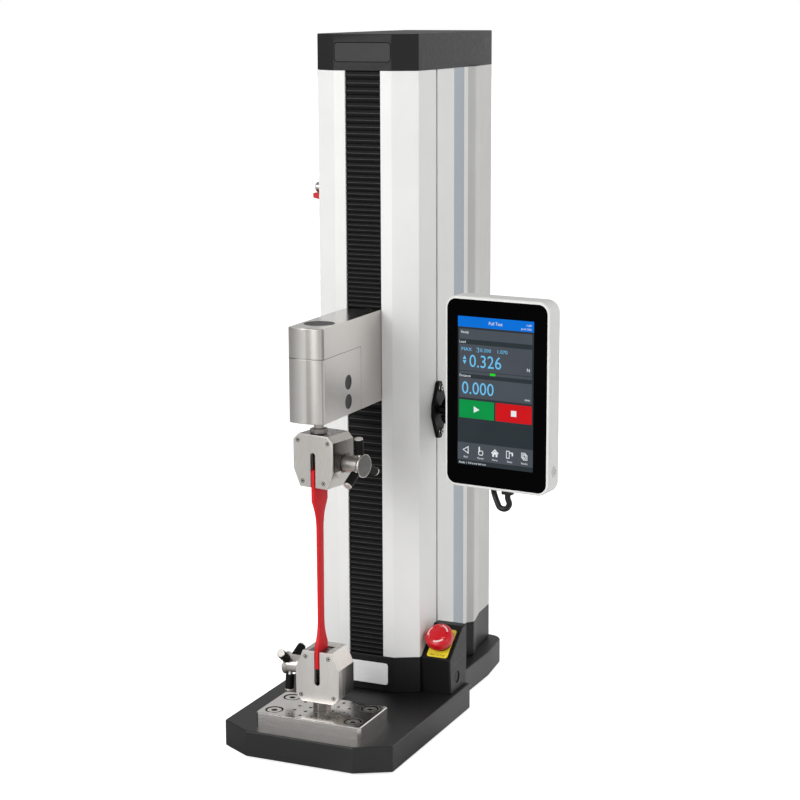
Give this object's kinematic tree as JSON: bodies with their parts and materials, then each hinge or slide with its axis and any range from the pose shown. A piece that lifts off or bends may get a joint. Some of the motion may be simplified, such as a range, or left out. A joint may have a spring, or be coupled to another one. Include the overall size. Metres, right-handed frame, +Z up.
{
  "type": "force test stand",
  "caption": "Motorised single-column force test stand with bellows slot, wedge grips holding a rubber test piece, emergency stop and touch panel on a ball arm.",
  "frame": {"origin": "on the bench under the load line", "axes": "+X right, +Y towards the column, +Z up along the load line"},
  "size_m": [0.3364, 0.4065, 0.748],
  "materials": {
    "cast_black": "textured black powder coat",
    "dark_cap": "satin black paint",
    "column_grey": "silver-white coated extrusion",
    "cover_grey": "light grey paint",
    "strip_grey": "blue grey insert",
    "steel": "ground steel",
    "arm_silver": "bead-blasted and anodised",
    "rubber_black": "matt",
    "bellows_black": "coated cloth",
    "red_rubber": "smooth",
    "stop_red": "gloss",
    "stop_yellow": "gloss",
    "pod_black": "fine texture",
    "label_white": "printed film",
    "case_white": "moulded, fine texture",
    "screen": "display under glass",
    "black_plastic": "moulded",
    "board_green": "printed circuit board",
    "brass": "turned"
  },
  "bodies": {
    "frame": {"base_casting": "cast_black", "feet": "rubber_black", "base_plate": "steel", "base_plate_screws": "steel", "column_foot": "cast_black", "column_profile": "column_grey", "side_strips": "strip_grey", "rear_frame_gland": "column_grey", "rear_cover": "cover_grey", "top_cap": "dark_cap", "front_plates": "label_white", "bearing_plate": "steel", "drive_motor": "black_plastic", "drive_belt": "rubber_black", "guide_rails": "steel", "bellows_upper": "bellows_black", "bellows_lower": "bellows_black", "lower_stud_nut": "steel", "lower_grip_body": "steel", "lower_grip_front": "steel", "specimen": "red_rubber", "estop_pod": "pod_black", "estop_block": "stop_yellow", "ball_base": "dark_cap", "control_board": "board_green", "mains_inlet": "black_plastic"},
    "crosshead": {"rail_shoes": "steel", "carriage": "arm_silver", "ball_nut": "steel", "crosshead_arm": "arm_silver", "load_cell": "arm_silver", "arm_plugs": "black_plastic", "upper_stud_nut": "steel", "upper_grip_body": "steel", "upper_grip_front": "steel"},
    "ball_screw": {"ball_screw_shaft": "steel"},
    "motor_rotor": {"motor_rotor": "steel"},
    "lower_knob": {"lower_grip_knob": "steel", "lower_grip_sleeves": "rubber_black"},
    "lower_jaw_left": {"lower_jaw_b": "steel"},
    "lower_jaw_right": {"lower_jaw_a": "steel"},
    "upper_knob": {"upper_grip_knob": "steel", "upper_grip_sleeves": "rubber_black"},
    "upper_jaw_left": {"upper_jaw_a": "steel"},
    "upper_jaw_right": {"upper_jaw_b": "steel"},
    "stop_stem": {"estop_stem": "black_plastic"},
    "stop_head": {"estop_head": "stop_red"},
    "limit_slider": {"limit_stop": "stop_red"},
    "limit_thumb_knob": {"limit_knob": "steel"},
    "panel_arm": {"mount_arm_upper": "dark_cap", "mount_arm_lower": "dark_cap", "lead_to_column": "rubber_black"},
    "clamp_knob": {"mount_clamp_knob": "black_plastic"},
    "panel": {"panel_ball": "dark_cap", "panel_case": "case_white", "panel_glass": "screen", "lead_plug": "black_plastic", "lead_to_tie": "rubber_black"},
    "power_button": {"panel_button": "case_white"},
    "rocker": {"switch_rocker": "black_plastic"}
  },
  "joints": [
    {"name": "crosshead_travel", "type": "slide", "parent": "frame", "child": "crosshead", "axis": [0, 0, 1], "range_m": [-0.11, 0.155], "deforming": ["bellows_upper", "bellows_lower", "specimen"]},
    {"name": "screw_turn", "type": "hinge", "parent": "frame", "child": "ball_screw", "pos_m": [0, 0.157, 0.391], "axis": [0, 0, 1], "continuous": true},
    {"name": "motor_turn", "type": "hinge", "parent": "frame", "child": "motor_rotor", "pos_m": [0, 0.298, 0.072], "axis": [0, 0, 1], "continuous": true},
    {"name": "lower_knob_turn", "type": "hinge", "parent": "frame", "child": "lower_knob", "pos_m": [-0.025, 0.013, 0.0866], "axis": [1, 0, 0], "range_deg": [0, 91.2]},
    {"name": "lower_jaw_right_slide", "type": "slide", "parent": "frame", "child": "lower_jaw_right", "axis": [0.1736, 0, -0.9848], "range_m": [0, 0.008]},
    {"name": "lower_jaw_left_slide", "type": "slide", "parent": "frame", "child": "lower_jaw_left", "axis": [-0.1736, 0, -0.9848], "range_m": [0, 0.008]},
    {"name": "upper_knob_turn", "type": "hinge", "parent": "crosshead", "child": "upper_knob", "pos_m": [0.02694, 0.00827, 0.3134], "axis": [-0.9836, 0.1805, 0], "range_deg": [0, 91.2]},
    {"name": "upper_jaw_left_slide", "type": "slide", "parent": "crosshead", "child": "upper_jaw_left", "axis": [-0.1708, 0.0313, 0.9848], "range_m": [0, 0.008]},
    {"name": "upper_jaw_right_slide", "type": "slide", "parent": "crosshead", "child": "upper_jaw_right", "axis": [0.1708, -0.0313, 0.9848], "range_m": [0, 0.008]},
    {"name": "stop_press", "type": "slide", "parent": "frame", "child": "stop_stem", "axis": [0, 0.6061, -0.7954], "range_m": [0, 0.0032]},
    {"name": "stop_head_twist", "type": "hinge", "parent": "stop_stem", "child": "stop_head", "pos_m": [0.0769, 0.13965, 0.09036], "axis": [0, 0.6061, -0.7954], "range_deg": [0, 45], "stiffness_Nm_per_rad": 0.02},
    {"name": "limit_slide", "type": "slide", "parent": "frame", "child": "limit_slider", "axis": [0, 0, 1], "range_m": [-0.474, 0.116]},
    {"name": "limit_knob_turn", "type": "hinge", "parent": "limit_slider", "child": "limit_thumb_knob", "pos_m": [-0.072, 0.1733, 0.5805], "axis": [-1, 0, 0], "continuous": true},
    {"name": "arm_swing", "type": "hinge", "parent": "frame", "child": "panel_arm", "pos_m": [0.0841, 0.1733, 0.3417], "axis": [0, 0, 1], "range_deg": [-20, 20], "deforming": ["lead_to_column"]},
    {"name": "panel_tilt", "type": "hinge", "parent": "panel_arm", "child": "panel", "pos_m": [0.18209, 0.10012, 0.3905], "axis": [0.9949, -0.1011, 0], "range_deg": [-15, 15], "deforming": ["lead_to_tie"]},
    {"name": "clamp_knob_turn", "type": "hinge", "parent": "panel_arm", "child": "clamp_knob", "pos_m": [0.1331, 0.13671, 0.3661], "axis": [-0.6298, -0.7686, 0.1121], "continuous": true},
    {"name": "power_button_press", "type": "slide", "parent": "panel", "child": "power_button", "axis": [-0.9949, 0.1011, 0], "range_m": [0, 0.0012], "stiffness_N_per_m": 900, "springref_m": -0.0008},
    {"name": "rocker_tip", "type": "hinge", "parent": "frame", "child": "rocker", "pos_m": [0, 0.3428, 0.23], "axis": [1, 0, 0], "range_deg": [-9, 9]}
  ],
  "couplings": [
    {"joint": "screw_turn", "follows": "crosshead_travel", "rad_per_m": 628.32},
    {"joint": "motor_turn", "follows": "crosshead_travel", "rad_per_m": 1151.9},
    {"joint": "lower_jaw_right_slide", "follows": "lower_knob_turn", "m_per_rad": 0.0050264},
    {"joint": "lower_jaw_left_slide", "follows": "lower_knob_turn", "m_per_rad": 0.0050264},
    {"joint": "upper_jaw_left_slide", "follows": "upper_knob_turn", "m_per_rad": 0.0050264},
    {"joint": "upper_jaw_right_slide", "follows": "upper_knob_turn", "m_per_rad": 0.0050264}
  ]
}
